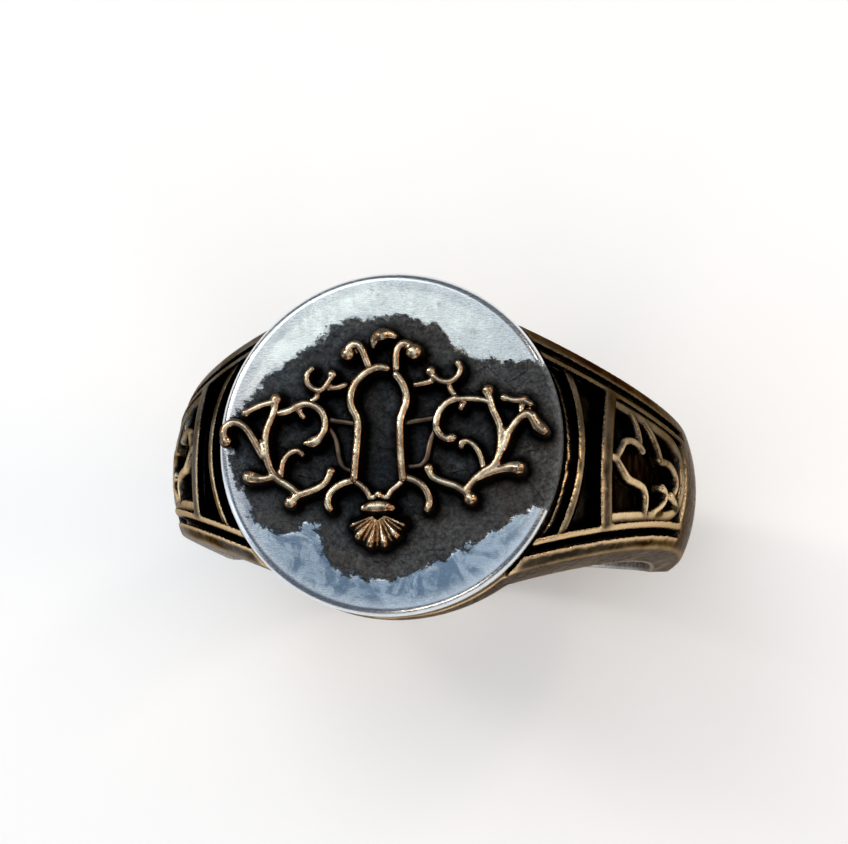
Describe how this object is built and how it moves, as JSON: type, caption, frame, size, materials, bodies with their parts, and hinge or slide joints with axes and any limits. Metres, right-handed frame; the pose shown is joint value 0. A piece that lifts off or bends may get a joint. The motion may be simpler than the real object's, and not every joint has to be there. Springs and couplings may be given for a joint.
{
  "type": "signet ring",
  "caption": "Signet ring with a round face, an applied keyhole ornament with scrollwork and a shell, and pierced tracery on its tapered shoulders.",
  "frame": {"origin": "centre of the finger bore", "axes": "+Y along the finger, towards the crest of the ornament; +Z out through the signet face; +X to the right when the face is looked at with its crest up"},
  "size_m": [0.0238, 0.0142, 0.0255],
  "materials": {
    "blackened_silver": "oxidised silver, blackened in the recesses and worn to warm grey on the high edges",
    "polished_silver": "polished silver rim with fine scratches round a blackened, leathery field",
    "worn_edge": "oxidised silver with its ridges rubbed to a warm brown-grey",
    "bronze": "rose bronze, bright on its rounded tops and dark down its sides",
    "dark_bronze": "bronze left dark in the recesses between the scrolls"
  },
  "bodies": {
    "root": {"shank": "blackened_silver", "signet_drum": "blackened_silver", "face_plate": "polished_silver", "collar_ridge_left": "worn_edge", "collar_ridge_right": "worn_edge", "tracery_left": "worn_edge", "tracery_right": "worn_edge", "inner_rib_left": "dark_bronze", "inner_rib_right": "dark_bronze", "keyhole_frame": "bronze", "frame_foot": "bronze", "crest_bead": "bronze", "crest_scroll_left": "bronze", "crest_scroll_right": "bronze", "hook_scroll_left": "bronze", "hook_scroll_right": "bronze", "inner_scroll_left": "bronze", "inner_scroll_right": "bronze", "branch_left": "bronze", "branch_right": "bronze", "volute_left": "bronze", "volute_right": "bronze", "collar_bead": "bronze", "shell_pendant": "bronze"}
  },
  "joints": []
}
